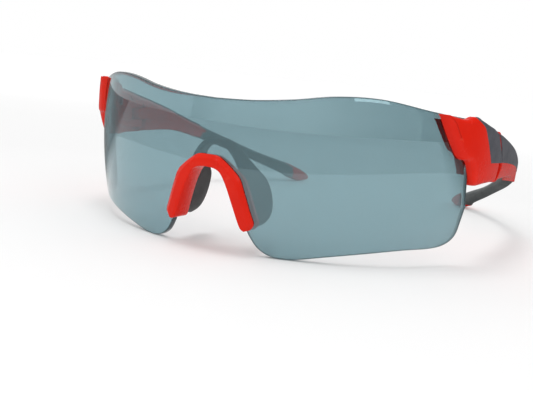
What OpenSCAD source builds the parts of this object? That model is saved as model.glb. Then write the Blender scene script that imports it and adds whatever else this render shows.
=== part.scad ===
// Wraparound sport sunglasses: a one-piece shield lens held by two end pieces,
// with folding temples, a clip-on nose bridge and a rubber nose saddle.
// Millimetres. +X is the wearer's left, -Y the front, +Z up.
// The part stands on the lens lobes and on the undersides of the tip caps.

/* [Lens] */
// Plan radius of the lens's outer face
lens_radius = 75.2; // [74.8:0.1:75.6]
// Vertical radius of the lens's outer face
lens_rise_radius = 138.3; // [130:0.5:146]
// Lens wall thickness
lens_thickness = 2.0; // [1.8:0.1:2.1]
// Forward lean of the lens's top edge, in degrees
lens_lean = 1.8; // [1.2:0.1:2.4]
// Half angle of wrap, from the middle to the lens's cut end
lens_wrap = 62.6; // [62:0.1:63]

/* [Nose bridge] */
// How far the front flange stands off the lens
bridge_stand = 1.6; // [1.2:0.1:2.0]
// How far the web reaches back from the lens's outer face
bridge_depth = 4.8; // [4.4:0.1:6.0]
// Play between the lens and the channel that grips it
slot_play = 0.05; // [0.02:0.01:0.10]

/* [End pieces] */
// How far the end piece's flange stands off the lens
flange_stand = 2.6; // [2.2:0.1:2.8]
// Thickness of the clamp plate behind the lens
clamp_thickness = 1.8; // [1.4:0.1:2.0]
// Height of the flange's bump over the lens corner
bump_rise = 0.7; // [0.3:0.1:1.0]

/* [Temples] */
// Temple thickness, measured across the head
temple_thickness = 4.6; // [4.4:0.1:4.8]
// Distance of the tip's end behind the lens's middle
temple_reach = 170.3; // [168:0.1:172]
// Thickness of the dark panels let into the outer faces
panel_thickness = 1.0; // [0.8:0.1:1.2]
// Thickness of the rubber over the temple's core
grip_wall = 1.2; // [1.0:0.1:1.4]
// Width of the seam between end piece and temple
seam_gap = 0.3; // [0.3:0.05:0.5]

/* [Hinges] */
// Radius of the hinge knuckles
knuckle_r = 2.3; // [2.2:0.05:2.4]
// Radius of the hinge screw's shank
hinge_pin_r = 0.70; // [0.60:0.05:0.80]
// Radial running clearance of the knuckle on the screw
hinge_play = 0.05; // [0.02:0.01:0.08]

/* [Hidden] */

$fn = 96;
far = 200;                       // longer than any part, for through cuts
touch = 0.02;                    // gap left between pieces that sit face to face

// The lens's vertex: its frontmost point, at the middle
vertex_z = 29.27;
front_lip = bridge_stand - 0.03; // the bridge's face over the vertex
mid_y = (temple_reach - front_lip) / 2;
vertex_y = -mid_y;               // so that the whole part is centred on Y

// Colours
red = [0.86, 0.12, 0.08];
graphite = [0.36, 0.37, 0.40];
rubber_black = [0.12, 0.12, 0.13];
rubber_grey = [0.28, 0.31, 0.32];
steel = [0.75, 0.75, 0.77];
tint = [0.48, 0.62, 0.66, 0.45];

// ---- Outline helpers --------------------------------------------------

// One point of a Catmull-Rom stretch from b to c
function stretch_point(a, b, c, d, t) =
    0.5 * (2*b + (c - a)*t + (2*a - 5*b + 4*c - d)*t*t + (3*b - a - 3*c + d)*t*t*t);

// A smooth open line through points p, with n steps in each stretch
function smooth(p, n = 4) = concat(
    [for (i = [0:len(p) - 2]) for (k = [0:n - 1])
        stretch_point(p[max(i - 1, 0)], p[i], p[i + 1],
                      p[min(i + 2, len(p) - 1)], k / n)],
    [p[len(p) - 1]]);

function reversed(p) = [for (i = [len(p) - 1:-1:0]) p[i]];
function mirrored(p) = [for (q = reversed(p)) [-q[0], q[1]]];

// A half outline from the middle outwards, joined to its mirror image
function both_sides(p) = concat(mirrored(p), p);

// ---- Lens surface -----------------------------------------------------

// Children are drawn in the lens's own frame: origin at its vertex
module in_lens_frame() {
    translate([0, vertex_y, vertex_z]) rotate([lens_lean, 0, 0]) children();
}

// A curved shell between two distances from the lens's outer face,
// positive outwards, turned about the vertical axis from -wrap to wrap
module lens_shell(inner, outer, wrap = 62.6, half_h = 34) {
    bow = lens_rise_radius;
    translate([0, lens_radius, 0]) rotate([0, 0, -90 - wrap])
        rotate_extrude(angle = 2 * wrap, $fn = 180) intersection() {
            translate([lens_radius - bow, 0]) difference() {
                circle(r = bow + outer, $fn = 360);
                circle(r = bow + inner, $fn = 360);
            }
            translate([lens_radius - 24, -half_h]) square([40, 2 * half_h]);
        }
}

// A front-view outline (x across, y up), swept through the depth
module front_cut(outline, from = -30, to = 60) {
    translate([0, to, 0]) rotate([90, 0, 0])
        linear_extrude(to - from) polygon(outline);
}

// A side-view outline (x is +Y measured from the vertex, y is up),
// swept across the wearer's left half
module side_cut(outline, from = 20, to = 100) {
    translate([from, vertex_y, 0]) rotate([90, 0, 90])
        linear_extrude(to - from) polygon(outline);
}

// ---- Lens -------------------------------------------------------------

lens_top = smooth([[0, 15.2], [11.3, 15.6], [22.7, 16.8], [34, 18.6],
                   [45.3, 18.7], [56.7, 16.3], [63, 15.0], [70, 14.2]]);
lens_low = smooth([[66.6, -12], [65.8, -16.6], [64.8, -21.0], [62.8, -23.6],
                   [59.6, -24.7], [52.8, -25.0], [43.6, -26.2], [34.4, -27.7],
                   [25.2, -29.4], [19.6, -29.2], [15.8, -27.2], [13.4, -24.0],
                   [12.1, -21.0]]);
notch = smooth([[12.1, -21.0], [10.2, -13.5], [8.4, -8.3], [6.5, -5.3],
                [3.8, -3.1], [0, -2.6]]);
lens_half = concat(lens_top, [[70, -12]], lens_low, notch);

// The clamp screw passes through the lens near each end
clamp_angle = 60.2;
clamp_h = 7.0;
clamp_hole_r = 1.8;
clamp_pin_r = 0.8;
clamp_head_r = 1.5;
clamp_head_h = 0.8;

// Children are drawn along +Z, which points outwards through the lens
// at the left clamp screw, with z = 0 on the lens's outer face
module at_clamp() {
    drop = lens_rise_radius - sqrt(pow(lens_rise_radius, 2) - pow(clamp_h, 2));
    in_lens_frame() translate([0, lens_radius, clamp_h])
        rotate([0, 0, clamp_angle - 90]) translate([lens_radius - drop, 0, 0])
            rotate([0, 90, 0]) children();
}

module both() {
    children();
    mirror([1, 0, 0]) children();
}

module shield_lens() {
    color(tint) difference() {
        in_lens_frame() intersection() {
            lens_shell(-lens_thickness, 0, lens_wrap);
            front_cut(both_sides(lens_half));
        }
        both() at_clamp() cylinder(r = clamp_hole_r, h = 12, center = true);
    }
}

// ---- Nose bridge ------------------------------------------------------

bridge_out = smooth([[0, -0.9], [2.9, -1.0], [5.0, -2.1], [8.0, -4.5],
                     [10.2, -6.9], [11.6, -10.5], [13.6, -16.5], [14.6, -19.4],
                     [14.3, -20.7], [13.0, -21.9], [12.0, -22.1], [11.1, -21.5]]);
bridge_in = smooth([[10.5, -20.0], [8.2, -14.0], [6.5, -9.5], [4.65, -6.0],
                    [2.65, -4.7], [0, -4.4]]);
// The web stands just inside the lens's notch
web_out = [for (p = reversed(notch)) [p[0] * (1 - slot_play / 6), p[1] - slot_play]];
rear_out = smooth([[0, -1.3], [2.9, -1.5], [5.0, -2.6], [8.2, -4.8],
                   [10.9, -7.0], [12.5, -10.6], [14.6, -16.6], [15.5, -19.2],
                   [15.0, -20.3], [13.8, -20.8], [11.0, -20.8]]);

module nose_bridge() {
    color(red) in_lens_frame() {
        intersection() {
            lens_shell(slot_play, bridge_stand, 20);
            front_cut(both_sides(concat(bridge_out, bridge_in)));
        }
        intersection() {
            lens_shell(-bridge_depth, bridge_stand - 0.4, 20);
            front_cut(both_sides(concat(web_out, bridge_in)));
        }
        intersection() {
            lens_shell(-lens_thickness - slot_play - 1.8, -lens_thickness - slot_play, 20);
            front_cut(both_sides(concat(rear_out, bridge_in)));
        }
    }
}

// ---- Nose saddle ------------------------------------------------------

saddle_out = smooth([[0, 33.4], [4.4, 32.4], [8.2, 28.2], [10.3, 22.0],
                     [12.0, 15.5], [13.4, 9.4], [12.6, 7.4]]);
saddle_in = smooth([[10.8, 7.6], [9.9, 13.0], [8.4, 19.6], [6.8, 25.0],
                    [4.6, 28.4], [2.6, 29.9], [0, 30.4]]);
// Side view: y behind the vertex, z up
saddle_side = concat(
    smooth([[5.0, 8.6], [11.5, 7.4], [16.6, 8.2], [19.8, 11.6], [20.8, 16.0],
            [19.6, 20.6], [15.6, 25.0], [11.6, 29.0], [10.4, 34.0]], 3),
    [[2.0, 34.0], [2.0, 8.6]]);

module nose_saddle() {
    color(rubber_black) difference() {
        intersection() {
            translate([0, far / 2 + vertex_y, 0]) rotate([90, 0, 0])
                linear_extrude(far) polygon(both_sides(concat(saddle_out, saddle_in)));
            side_cut(saddle_side, -20, 20);
        }
        in_lens_frame() lens_shell(-bridge_depth - slot_play, 8, 20);
    }
}

// ---- Temple line in plan ----------------------------------------------

// Outer face: distance behind the vertex, then half width
plan = [[35.8, 67.6], [43.3, 70.3], [54.3, 72.0], [66.3, 73.0], [84.3, 73.4],
        [104.3, 72.0], [124.3, 67.0], [144.3, 58.0], [162, 47.4], [172, 40.8]];
plan_line = smooth(plan, 5);

// A vertical wall that follows the temple line, between two depths
// below the outer face, on the wearer's left
module temple_wall(shallow, deep) {
    translate([0, vertex_y, 0]) linear_extrude(60) polygon(concat(
        [for (p = plan_line) [p[1] - shallow, p[0]]],
        [for (p = reversed(plan_line)) [p[1] - deep, p[0]]]));
}

// Everything outside a depth below the outer face
module outside_of(depth) {
    translate([0, vertex_y, 0]) linear_extrude(60) polygon(concat(
        [for (p = plan_line) [p[1] - depth, p[0]]],
        [for (p = reversed(plan_line)) [p[1] + 6, p[0]]]));
}

// ---- Side outlines, y behind the vertex and z up ------------------------

top_line = smooth([[49.5, 42.3], [62, 39.7], [74.6, 37.0], [87.6, 33.8],
                   [104.3, 28.6], [124.3, 22.2], [144.3, 14.8], [162, 8.8],
                   [temple_reach - 1.6, 5.9]]);
tip_flat = [[temple_reach - 1.2, 0], [temple_reach - 4.6, 0]];
low_line = concat([tip_flat[0]],
                  smooth([tip_flat[1], [154, 5.6], [138.6, 11.8], [124.3, 16.5],
                          [108, 21.1], [92, 24.2], [78, 25.3], [59.3, 25.4]]));
tip_nose = smooth([[temple_reach - 1.6, 5.9], [temple_reach, 3.6],
                   [temple_reach - 0.1, 1.4], tip_flat[0]], 3);
temple_side = concat(top_line, tip_nose, low_line);

// The raked seam between end piece and temple
seam_line = smooth([[52.6, 43.6], [53.6, 41.1], [58.1, 36.3], [61.4, 31.4],
                    [62.1, 28.2], [61.2, 26.2], [58.6, 24.6]]);
behind_seam = concat([for (p = seam_line) p + [seam_gap / 2, 0]],
                     [[58.6, -5], [far, -5], [far, 60], [52.6, 60]]);
ahead_of_seam = concat([for (p = seam_line) p - [seam_gap / 2, 0]],
                       [[58.6, -5], [0, -5], [0, 60], [52.6, 60]]);

end_top = smooth([[28.0, 46.0], [30.5, 45.6], [34.8, 45.0],
                  [37.4, 45.2 + bump_rise], [39.6, 45.0], [44, 43.7],
                  [49.5, 42.5], [56, 41.0]]);
end_low = smooth([[60, 25.2], [50, 25.4], [43, 25.1], [41.0, 26.0],
                  [39.4, 28.6], [38.0, 31.0], [36.6, 32.8]]);
end_front = smooth([[34.8, 33.2], [33.5, 34.3], [31.9, 36.9], [30.2, 40.2],
                    [28.7, 43.9], [28.0, 46.0]]);
end_side = concat(end_top, [[60, 41]], end_low, end_front);
clamp_side = [[31.1, 44.4], [33.2, 39.6], [35.4, 35.8], [37.6, 34.2],
              [39.0, 31.0], [40.8, 27.8], [44, 27.4], [44, 42.6], [38, 44.0]];

// The dark panel's front edge and lower edge on the end piece
panel_front = smooth([[37.0, 46.4], [37.4, 45.0], [40.6, 42.8], [42.8, 39.7],
                      [48.2, 32.2]]);
end_panel_side = concat(panel_front, [[62.5, 31.7], [62.5, 50], [40, 50]]);
temple_panel_side = [[50, 31.8], [70, 30.8], [87.8, 29.0], [104, 25.4],
                     [108.2, 23.6], [110.6, 34], [80, 50], [50, 50]];

// Where the rubber grip starts and ends along the temple
grip_start = [[107.6, 19], [111.6, 28]];
grip_end = [[162.3, -1], [161.6, 13]];
function beyond(edge, by = 0) = [edge[0] + [by, 0], edge[1] + [by, 0],
                                 [edge[1][0] + by, 60], [far, 60], [far, -5],
                                 [edge[0][0] + by, -5]];

// ---- Hinge ------------------------------------------------------------

hinge_x = 68.2;
hinge_y = 59.3;                  // behind the vertex
ear_top = 37.5;
tongue_top = 34.4;
tongue_low = 30.2;
ear_low = 27.2;
axial_play = 0.2;
relief_r = knuckle_r + 0.3;
screw_head_r = 1.4;
screw_head_h = 0.7;
bar_in = hinge_x - knuckle_r;    // inboard face of the knuckle bars
ear_bar_out = hinge_x - 1.3;     // outboard face of the bars that carry the ears
ear_bar_length = 11;
tongue_neck = 3.4;               // length of the thin bar beside the knuckle
tongue_length = 10;

module hinge_cylinder(r, low, high) {
    translate([hinge_x, vertex_y + hinge_y, low]) cylinder(r = r, h = high - low);
}

module hinge_block(x0, x1, y0, y1, low, high) {
    translate([x0, vertex_y + y0, low]) cube([x1 - x0, y1 - y0, high - low]);
}

// One ear of the end piece's fork
module ear(low, high) {
    hinge_cylinder(knuckle_r, low, high);
    hinge_block(bar_in, ear_bar_out, hinge_y - ear_bar_length, hinge_y, low, high);
}

// ---- Pieces of the left side -------------------------------------------

module end_piece() {
    color(red) difference() {
        union() {
            difference() {
                intersection() {
                    union() {
                        in_lens_frame() lens_shell(slot_play, flange_stand, 63.8);
                        temple_wall(0, temple_thickness);
                    }
                    side_cut(end_side);
                    side_cut(ahead_of_seam);
                }
                // room for the lens's end and for the clamp plate
                in_lens_frame() lens_shell(-lens_thickness - clamp_thickness - 0.6,
                                           slot_play, 63.3);
                // seat for the dark panel
                intersection() {
                    outside_of(panel_thickness);
                    side_cut(end_panel_side);
                }
                hinge_cylinder(relief_r, tongue_low - axial_play,
                               tongue_top + axial_play);
            }
            ear(tongue_top + axial_play, ear_top);
            ear(ear_low, tongue_low - axial_play);
            // boss that passes through the lens and meets the clamp plate
            at_clamp() translate([0, 0, -lens_thickness])
                cylinder(r = clamp_hole_r - 0.1, h = lens_thickness + 1);
        }
        hinge_cylinder(hinge_pin_r + touch, ear_low - 1, tongue_low);
        hinge_cylinder(hinge_pin_r + hinge_play, tongue_low, ear_top + 1);
        hinge_cylinder(screw_head_r + 0.1, ear_top - screw_head_h - touch, ear_top + 1);
        at_clamp() translate([0, 0, -lens_thickness - 1])
            cylinder(r = clamp_pin_r + touch, h = lens_thickness + 2);
    }
}

module end_panel() {
    color(graphite) intersection() {
        temple_wall(0, panel_thickness - touch);
        side_cut([for (p = end_panel_side) p + [touch, 0]]);
        side_cut(end_side);
        side_cut(ahead_of_seam);
    }
}

module lens_clamp() {
    back = -lens_thickness - slot_play;
    color(red) difference() {
        intersection() {
            in_lens_frame() lens_shell(back - clamp_thickness, back, 62.9);
            side_cut(clamp_side);
        }
        at_clamp() translate([0, 0, -12]) cylinder(r = clamp_pin_r + hinge_play, h = 12);
    }
}

module clamp_screw() {
    seat = -lens_thickness - clamp_thickness - slot_play;
    color(steel) at_clamp() difference() {
        union() {
            translate([0, 0, seat - 0.2]) cylinder(r = clamp_pin_r, h = 0.9 - seat);
            translate([0, 0, seat - 0.2 - clamp_head_h])
                cylinder(r = clamp_head_r, h = clamp_head_h);
        }
        // a straight slot for the driver
        translate([-2, -0.2, seat - 0.2 - clamp_head_h - 0.1]) cube([4, 0.4, 0.45]);
    }
}

module hinge_screw() {
    color(steel) difference() {
        union() {
            hinge_cylinder(hinge_pin_r, ear_low + 0.2, ear_top - 0.1);
            hinge_cylinder(screw_head_r, ear_top - screw_head_h, ear_top);
        }
        hinge_block(hinge_x - 2, hinge_x + 2, hinge_y - 0.2, hinge_y + 0.2,
                    ear_top - 0.35, ear_top + 1);
    }
}

// The temple's full form behind the seam
module temple_form(shallow = 0, deep = temple_thickness) {
    intersection() {
        temple_wall(shallow, deep);
        side_cut(concat([[49.5, 60]], [[49.5, 42.3]], temple_side, [[49.5, 25.4]]));
        side_cut(behind_seam);
    }
}

// The slim core that carries the grip and the tip cap
core_side = concat(
    smooth([[100, 28.4], [124.3, 20.8], [144.3, 13.2], [162, 7.2], [166.5, 5.8]]),
    smooth([[166.5, 2.2], [163, 2.9], [154, 6.9], [138.6, 12.8], [124.3, 17.6],
            [100, 23.4]]));

module temple_core(play = 0) {
    intersection() {
        temple_wall(grip_wall - play, temple_thickness - grip_wall + play);
        side_cut(core_side);
    }
}

module temple_arm() {
    color(red) difference() {
        union() {
            difference() {
                temple_form();
                side_cut(beyond(grip_start, -touch));
                intersection() {
                    outside_of(panel_thickness);
                    side_cut(temple_panel_side);
                }
                hinge_cylinder(relief_r, tongue_top, ear_top + 0.3);
                hinge_cylinder(relief_r, ear_low - 0.3, tongue_low);
            }
            temple_core();
            hinge_cylinder(knuckle_r, tongue_low, tongue_top);
            hinge_block(bar_in, hinge_x - 0.6, hinge_y, hinge_y + tongue_neck,
                        tongue_low, tongue_top);
            hinge_block(bar_in, hinge_x + 1.6, hinge_y + tongue_neck,
                        hinge_y + tongue_length, tongue_low, tongue_top);
        }
        hinge_cylinder(hinge_pin_r + hinge_play, tongue_low - 1, tongue_top + 1);
    }
}

module temple_panel() {
    color(graphite) intersection() {
        temple_form(0, panel_thickness - touch);
        side_cut([for (p = temple_panel_side) p + [0, touch]]);
        difference() {
            side_cut([[40, 0], [far, 0], [far, 60], [40, 60]]);
            side_cut(beyond(grip_start, -0.4));
        }
    }
}

module temple_grip() {
    color(rubber_grey) difference() {
        temple_form();
        side_cut([[0, -5], [grip_start[0][0], -5], grip_start[0], grip_start[1],
                  [grip_start[1][0], 60], [0, 60]]);
        side_cut(beyond(grip_end));
        temple_core(touch);
    }
}

module tip_cap() {
    color(red) difference() {
        intersection() {
            temple_form();
            side_cut(beyond(grip_end, 0.1));
        }
        temple_core(touch);
    }
}

// ---- Named pieces, left as drawn and right as its mirror image ----------

module right() { mirror([1, 0, 0]) children(); }

module left_end_piece() { end_piece(); }
module left_end_panel() { end_panel(); }
module left_lens_clamp() { lens_clamp(); }
module left_clamp_screw() { clamp_screw(); }
module left_hinge_screw() { hinge_screw(); }
module left_temple_arm() { temple_arm(); }
module left_temple_panel() { temple_panel(); }
module left_temple_grip() { temple_grip(); }
module left_tip_cap() { tip_cap(); }
module right_end_piece() { right() end_piece(); }
module right_end_panel() { right() end_panel(); }
module right_lens_clamp() { right() lens_clamp(); }
module right_clamp_screw() { right() clamp_screw(); }
module right_hinge_screw() { right() hinge_screw(); }
module right_temple_arm() { right() temple_arm(); }
module right_temple_panel() { right() temple_panel(); }
module right_temple_grip() { right() temple_grip(); }
module right_tip_cap() { right() tip_cap(); }

shield_lens();
nose_bridge();
nose_saddle();
left_end_piece();
left_end_panel();
left_lens_clamp();
left_clamp_screw();
left_hinge_screw();
left_temple_arm();
left_temple_panel();
left_temple_grip();
left_tip_cap();
right_end_piece();
right_end_panel();
right_lens_clamp();
right_clamp_screw();
right_hinge_screw();
right_temple_arm();
right_temple_panel();
right_temple_grip();
right_tip_cap();
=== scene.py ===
"""Wraparound sport sunglasses: the looks of the shield lens, its nose bridge and saddle, and the
two folding temples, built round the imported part. Lengths are millimetres until make() puts them
into a mesh; a point is (x across, y behind the lens's vertex, z up), as the part is drawn."""
import math

import bpy
import numpy as np
from mathutils import Matrix, Vector


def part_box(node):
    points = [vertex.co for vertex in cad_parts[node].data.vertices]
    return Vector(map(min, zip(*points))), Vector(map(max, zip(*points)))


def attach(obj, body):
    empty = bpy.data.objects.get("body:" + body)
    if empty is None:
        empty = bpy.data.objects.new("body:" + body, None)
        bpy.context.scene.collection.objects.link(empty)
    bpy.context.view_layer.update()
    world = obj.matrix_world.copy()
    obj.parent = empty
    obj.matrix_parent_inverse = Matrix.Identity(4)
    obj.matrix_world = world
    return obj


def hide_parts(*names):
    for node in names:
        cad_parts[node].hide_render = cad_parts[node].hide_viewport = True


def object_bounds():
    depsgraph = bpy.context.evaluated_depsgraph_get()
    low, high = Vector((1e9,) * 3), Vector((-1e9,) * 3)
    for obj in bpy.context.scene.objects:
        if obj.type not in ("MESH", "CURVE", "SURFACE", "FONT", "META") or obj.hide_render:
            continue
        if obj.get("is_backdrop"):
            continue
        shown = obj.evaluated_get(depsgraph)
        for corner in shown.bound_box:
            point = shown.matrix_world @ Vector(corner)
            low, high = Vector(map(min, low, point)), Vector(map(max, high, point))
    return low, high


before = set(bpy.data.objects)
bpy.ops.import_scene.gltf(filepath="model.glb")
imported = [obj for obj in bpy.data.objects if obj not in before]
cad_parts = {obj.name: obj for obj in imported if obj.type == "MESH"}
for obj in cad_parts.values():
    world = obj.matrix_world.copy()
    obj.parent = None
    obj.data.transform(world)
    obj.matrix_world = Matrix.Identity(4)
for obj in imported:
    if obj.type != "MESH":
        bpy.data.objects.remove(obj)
cad_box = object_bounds()

MM = 0.001

# ---- Driving sizes, the same as the part's -----------------------------------

LENS_R = 75.2            # plan radius of the lens's outer face
LENS_BOW = 138.3         # radius of its rise
LENS_THICK = 2.0
LENS_LEAN = math.radians(1.8)
VERTEX_Z = 29.27
BRIDGE_STAND = 1.6
BRIDGE_DEPTH = 4.8
FLANGE_STAND = 2.6
CLAMP_THICK = 1.8
TEMPLE_THICK = 4.6
CORNER_EASE = 0.5        # how fast an edge's rounding grows away from a corner
PANEL_PROUD = 0.12       # how far the panels stand above the red shell
SEAM = 0.15              # half the seam between end piece and temple
HINGE_X, HINGE_Y, HINGE_Z = 68.2, 59.3, 32.3
KNUCKLE_R = 2.3
PIN_BORE, HEAD_BORE = 0.75, 1.5          # radii of the screw's hole and of its head's
LOWER_EAR = (27.2, 30.0)                 # heights of the end piece's two hinge ears,
UPPER_EAR = (34.6, 37.5)                 # and of the temple's tongue between them
TONGUE = (30.2, 34.4)
HEAD_SEAT = 36.75                        # where the screw's head begins in the upper ear
BAR_IN = 65.9                            # inner face of the bars that carry the eyes
POCKET = 2.9                             # how much the wall is thinned round the knuckles
FLANGE_FADE = (33, 41)                   # where the flange on the lens turns into the wall,
WALL_FULL = (41.2, 43.4)                 # and where the wall takes its whole thickness
TOP_SLOPE = 2.2                          # how far the top edge falls towards the inside
SHOULDER = 1.1                           # radius of the shoulder that the panels roll over
GRIP_STOP_LOW, GRIP_STOP_TOP = 162.1, 161.7
GRIP_GAP = 0.1
PANEL_THICK = 0.75
PANEL_OVER = 0.55                        # how far a panel rolls over the shoulder

# The vertex's place along Y, from the lens's foremost point: a lean of a bowed
# face carries that point forward by bow * (1 - cos lean)
lens_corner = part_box("shield_lens")[0]
VERTEX_Y = lens_corner.y / MM + LENS_BOW * (1 - math.cos(LENS_LEAN))


# ---- Curves ------------------------------------------------------------------

def smooth(points, steps=8):
    """Catmull-Rom line: between two points, the cubic whose slope at each is half the
    step from its left neighbour to its right one."""
    p = np.asarray(points, float)
    q = np.vstack([p[:1], p, p[-1:]])
    a, b, c, d = q[:-3, None], q[1:-2, None], q[2:-1, None], q[3:, None]
    t = (np.arange(steps) / steps)[None, :, None]
    line = 0.5 * (2 * b + (c - a) * t + (2 * a - 5 * b + 4 * c - d) * t ** 2
                  + (3 * b - a - 3 * c + d) * t ** 3)
    return np.vstack([line.reshape(-1, p.shape[1]), p[-1:]])


def spaced(line, count):
    """The same line with count points, evenly spaced along its length."""
    run = np.concatenate([[0], np.cumsum(np.linalg.norm(np.diff(line, axis=0), axis=1))])
    at = np.linspace(0, run[-1], count)
    return np.stack([np.interp(at, run, line[:, k]) for k in range(line.shape[1])], 1)


def both_sides(half):
    """A line from the middle outwards, joined to its reflection: left end to right end."""
    half = np.asarray(half)
    return np.vstack([half[::-1] * [-1, 1], half[1:]])


def height_at(line, y):
    """The line's height at y, for a line that runs steadily along y."""
    order = np.argsort(line[:, 0])
    return np.interp(y, line[order, 0], line[order, 1])


def step_up(value, low, high):
    """0 below low, 1 above high, and 3t^2 - 2t^3 between them."""
    t = np.clip((value - low) / (high - low), 0, 1)
    return t * t * (3 - 2 * t)


# ---- Meshes --------------------------------------------------------------------

def without_repeats(faces):
    """The faces as lists; a row of four that names a point twice is a triangle."""
    return [list(dict.fromkeys(face)) for face in faces.tolist()]


def make(name, parts, materials, body, nodes, mirrored=False):
    """One piece from (points, faces, material number) parts, in its place on its body."""
    points, faces, numbers, start = [], [], [], 0
    for part_points, part_faces, number in parts:
        points.append(part_points.reshape(-1, 3))
        faces.append(part_faces + start)
        numbers.append(np.full(len(part_faces), number))
        start += len(points[-1])
    points = np.vstack(points) + [0, VERTEX_Y, 0]
    faces = np.vstack(faces)
    if mirrored:
        points = points * [-1, 1, 1]
        faces = faces[:, ::-1]
    mesh = bpy.data.meshes.new(name)
    mesh.from_pydata((points * MM).tolist(), [], without_repeats(faces))
    mesh.polygons.foreach_set("use_smooth", np.ones(len(faces), bool))
    mesh.polygons.foreach_set("material_index", np.concatenate(numbers).astype(np.int32))
    for material in materials:
        mesh.materials.append(material)
    mesh.validate()
    mesh.update()
    piece = bpy.data.objects.new(name, mesh)
    bpy.context.scene.collection.objects.link(piece)
    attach(piece, body)
    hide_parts(*nodes)
    return piece


def grid_faces(rows, cols, around=False, flip=False):
    """Quads between neighbouring rows and columns; the last column meets the first if around."""
    index = np.arange(rows * cols).reshape(rows, cols)
    if around:
        index = np.hstack([index, index[:, :1]])
    quads = np.stack([index[:-1, :-1], index[:-1, 1:], index[1:, 1:], index[1:, :-1]], -1)
    quads = quads.reshape(-1, 4)
    return quads[:, ::-1] if flip else quads


def rim_of(grid):
    """The grid's border as one loop: along the low side, up, back along the top, and down."""
    return np.concatenate([grid[0, :-1], grid[:-1, -1], grid[-1, :0:-1], grid[:0:-1, 0]])


def plate(low, top, place, thick, rounding, rows=14, back_rounding=0.4, turns=5):
    """A plate with rounded edges between two lines of equal count.

    Its middle is the ruled grid low + (top - low) * v. Each edge is a quarter round: for an
    angle a from 0 to 90 degrees the border stands r * (1 - sin a) inside the outline and
    r * (1 - cos a) below the face. place(p, q, depth) puts outline points on the real surface,
    thick is the depth of the back face, and rounding is r for the (low, end, top, start) sides."""
    count = len(low)
    v = np.linspace(0, 1, rows)[:, None, None]
    grid = low[None] * (1 - v) + top[None] * v
    loop = rim_of(grid)
    ahead = np.roll(loop, -1, 0) - loop
    behind = loop - np.roll(loop, 1, 0)
    ahead /= np.linalg.norm(ahead, axis=1, keepdims=True) + 1e-12
    behind /= np.linalg.norm(behind, axis=1, keepdims=True) + 1e-12
    along = ahead + behind
    along /= np.linalg.norm(along, axis=1, keepdims=True) + 1e-12
    inward = np.stack([-along[:, 1], along[:, 0]], 1)
    sides = np.repeat(rounding, [count - 1, rows - 1, count - 1, rows - 1])
    radius = np.convolve(np.concatenate([sides[-3:], sides, sides[:3]]), np.ones(7) / 7, "valid")
    # near a corner the rounding shrinks, so that the two sides' curves don't cross
    corners = loop[[0, count - 1, count + rows - 2, 2 * count + rows - 3]]
    nearest = np.linalg.norm(loop[:, None] - corners[None], axis=2).min(1)
    radius = np.minimum(radius, 0.08 + CORNER_EASE * nearest)

    def ring(r, angle):
        inset = (r * (1 - np.sin(angle)))[:, None] * inward
        return loop + inset, r * (1 - np.cos(angle))

    def skin(r):
        """The grid with its border drawn in by r, and its middle shared out again."""
        inset = loop + r[:, None] * inward
        cols, deep = count - 1, rows - 1
        lower = inset[:count]
        right = inset[cols:cols + rows]
        upper = inset[cols + deep:cols + deep + count][::-1]
        left = np.concatenate([inset[2 * cols + deep:], inset[:1]])[::-1]
        made = lower[None] * (1 - v) + upper[None] * v
        u = np.linspace(0, 1, count)[None, :, None]
        made += (left - made[:, 0])[:, None] * (1 - u) + (right - made[:, -1])[:, None] * u
        return made

    angles = np.linspace(0, math.pi / 2, turns + 1)
    back_r = np.minimum(radius, back_rounding)
    front, back = skin(radius), skin(back_r)
    rings = []
    for angle in angles:
        flat, deep = ring(radius, angle)
        rings.append(place(flat[:, 0], flat[:, 1], deep))
    for angle in angles[::-1]:
        flat, deep = ring(back_r, angle)
        full = thick(flat[:, 0], flat[:, 1]) if callable(thick) else thick
        rings.append(place(flat[:, 0], flat[:, 1], full - deep))
    full = thick(back[..., 0], back[..., 1]) if callable(thick) else thick
    face = place(front[..., 0], front[..., 1], np.zeros(front.shape[:2]))
    rear = place(back[..., 0], back[..., 1], full + np.zeros(back.shape[:2]))
    return face, rear, np.array(rings)


def plate_parts(shape, rim_material=0):
    """The parts that make() takes, with the border points shared so that the solid is closed."""
    face, rear, rings = shape
    rows, cols = face.shape[:2]
    size, around = rows * cols, rings.shape[1]
    index = np.arange(size).reshape(rows, cols)
    border = rim_of(index)
    middle = 2 * size + np.arange((len(rings) - 2) * around).reshape(-1, around)
    stack = np.vstack([border[None], middle, border[None] + size])
    stack = np.hstack([stack, stack[:, :1]])
    strip = np.stack([stack[:-1, :-1], stack[1:, :-1], stack[1:, 1:], stack[:-1, 1:]], -1)
    strip = strip.reshape(-1, 4)
    skins = np.vstack([grid_faces(rows, cols), grid_faces(rows, cols, flip=True) + size])
    points = np.vstack([face.reshape(-1, 3), rear.reshape(-1, 3), rings[1:-1].reshape(-1, 3)])
    empty = np.zeros((0, 3))
    # faces of both parts count from the one block of points
    return [(points, skins, 0), (empty, strip - len(points), rim_material)]


def sweep_parts(rings):
    """A solid from closed rings in a row, each end drawn together to its middle point."""
    count, around = rings.shape[:2]
    sides = grid_faces(count, around, around=True)
    ends = rings[[0, -1]].mean(1)
    turn = np.arange(around)
    first = np.stack([np.roll(turn, -1), turn, np.full(around, count * around)], 1)
    last = np.stack([turn, np.roll(turn, -1), np.full(around, 1)], 1)
    last = last + [(count - 1) * around, (count - 1) * around, count * around]
    caps = np.vstack([first, last])
    # make() takes rows of four; a point named twice makes a triangle
    caps = np.hstack([caps, caps[:, 2:]])
    points = np.vstack([rings.reshape(-1, 3), ends])
    faces = np.vstack([sides, caps])
    return [(points, faces, 0)]


# ---- Surfaces ------------------------------------------------------------------

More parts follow.
